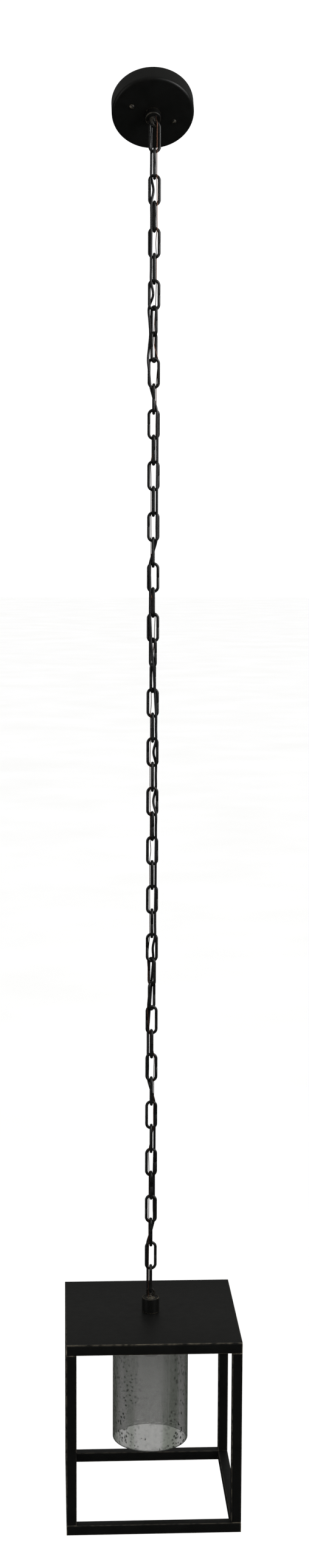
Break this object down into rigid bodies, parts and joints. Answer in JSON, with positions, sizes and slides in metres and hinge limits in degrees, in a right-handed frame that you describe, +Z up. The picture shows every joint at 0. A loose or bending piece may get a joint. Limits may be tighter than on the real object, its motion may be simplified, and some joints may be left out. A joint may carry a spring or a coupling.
{
  "type": "hanging lantern",
  "caption": "Pendant lantern: an open cube frame of square tube around a smoked glass cylinder, hung on a long chain with its cord from a round ceiling canopy on a sloped ceiling.",
  "frame": {"origin": "centre of the canopy's back, on the sloped ceiling", "axes": "+Z up along the chain, which hangs plumb; -Y towards the viewer; the canopy faces forward and down at 45 degrees"},
  "size_m": [0.275, 0.275, 2.2564],
  "materials": {
    "black_powder_coat": "satin black powder coat, a little worn along the edges",
    "black_chain": "semi-gloss black lacquer on steel wire",
    "zinc_plated_steel": "dull zinc plate",
    "socket_brass": "plain drawn brass",
    "green_screw": "green chromate on steel",
    "black_phenolic": "moulded phenolic, half gloss",
    "cord_jacket": "smooth glossy black vinyl",
    "bare_copper": "bare drawn copper, dulled by air",
    "smoked_glass": "smoked glass with seeds in it"
  },
  "bodies": {
    "canopy": {"mounting_strap": "zinc_plated_steel", "ground_screw": "green_screw", "canopy_nipple": "zinc_plated_steel", "canopy_locknut": "zinc_plated_steel", "canopy_shell": "black_powder_coat", "canopy_screw_left": "black_powder_coat", "canopy_screw_right": "black_powder_coat", "canopy_hub": "black_powder_coat", "canopy_loop": "black_powder_coat", "cord_canopy": "cord_jacket", "ground_wire_canopy": "bare_copper"},
    "chain_1": {"chain_links_01_05": "black_chain", "cord_run_1": "cord_jacket", "ground_wire_run_1": "bare_copper"},
    "chain_2": {"chain_links_06_11": "black_chain", "cord_run_2": "cord_jacket", "ground_wire_run_2": "bare_copper"},
    "chain_3": {"chain_links_12_18": "black_chain", "cord_run_3": "cord_jacket", "ground_wire_run_3": "bare_copper"},
    "chain_4": {"chain_links_19_24": "black_chain", "cord_run_4": "cord_jacket", "ground_wire_run_4": "bare_copper"},
    "chain_5": {"chain_links_25_31": "black_chain", "cord_run_5": "cord_jacket", "ground_wire_run_5": "bare_copper"},
    "chain_6": {"chain_links_32_37": "black_chain", "cord_run_6": "cord_jacket", "ground_wire_run_6": "bare_copper"},
    "chain_7": {"chain_links_38_42": "black_chain", "cord_run_7": "cord_jacket", "ground_wire_run_7": "bare_copper"},
    "chain_8": {"chain_links_43_47": "black_chain", "cord_run_8": "cord_jacket", "ground_wire_run_8": "bare_copper"},
    "lantern": {"lantern_loop": "black_powder_coat", "loop_collar": "black_powder_coat", "top_plate": "black_powder_coat", "top_rail_front": "black_powder_coat", "top_rail_right": "black_powder_coat", "top_rail_back": "black_powder_coat", "top_rail_left": "black_powder_coat", "bottom_rail_front": "black_powder_coat", "bottom_rail_right": "black_powder_coat", "bottom_rail_back": "black_powder_coat", "bottom_rail_left": "black_powder_coat", "post_front_left": "black_powder_coat", "post_front_right": "black_powder_coat", "post_back_right": "black_powder_coat", "post_back_left": "black_powder_coat", "stem_nipple": "zinc_plated_steel", "stem_locknut": "zinc_plated_steel", "socket_cap": "black_powder_coat", "lamp_socket": "black_phenolic", "socket_ring": "black_phenolic", "screw_shell": "socket_brass", "centre_contact": "socket_brass", "glass_shade": "smoked_glass", "cord_lantern": "cord_jacket", "ground_wire_lantern": "bare_copper"}
  },
  "joints": [
    {"name": "canopy_swing", "type": "hinge", "parent": "canopy", "child": "chain_1", "pos_m": [0, -0.035, -0.035], "axis": [0.848, -0.3747, 0.3747], "range_deg": [-70, 40]},
    {"name": "chain_bend_1", "type": "hinge", "parent": "chain_1", "child": "chain_2", "pos_m": [0.00202, -0.0359, -0.22922], "axis": [-0.0029, 1, 0], "range_deg": [-30, 30]},
    {"name": "chain_bend_2", "type": "hinge", "parent": "chain_2", "child": "chain_3", "pos_m": [0.00202, -0.0359, -0.46252], "axis": [-1, -0.0059, 0], "range_deg": [-30, 30]},
    {"name": "chain_twist", "type": "hinge", "parent": "chain_3", "child": "chain_4", "pos_m": [0.00202, -0.0359, -0.73482], "axis": [0, 0, 1], "range_deg": [-30, 30]},
    {"name": "chain_bend_3", "type": "hinge", "parent": "chain_4", "child": "chain_5", "pos_m": [0.00202, -0.0359, -0.96812], "axis": [-0.9976, -0.0687, 0], "range_deg": [-30, 30]},
    {"name": "chain_bend_4", "type": "hinge", "parent": "chain_5", "child": "chain_6", "pos_m": [0.00202, -0.0359, -1.24042], "axis": [-0.0821, -0.9966, 0], "range_deg": [-30, 30]},
    {"name": "chain_bend_5", "type": "hinge", "parent": "chain_6", "child": "chain_7", "pos_m": [0.00202, -0.0359, -1.47372], "axis": [0.9965, -0.083, 0], "range_deg": [-30, 30]},
    {"name": "chain_bend_6", "type": "hinge", "parent": "chain_7", "child": "chain_8", "pos_m": [0.00202, -0.0359, -1.66802], "axis": [0.0629, -0.998, 0], "range_deg": [-30, 30]},
    {"name": "lantern_swing", "type": "hinge", "parent": "chain_8", "child": "lantern", "pos_m": [0.00202, -0.0359, -1.86177], "axis": [0.9397, -0.342, 0], "range_deg": [-30, 30]}
  ]
}
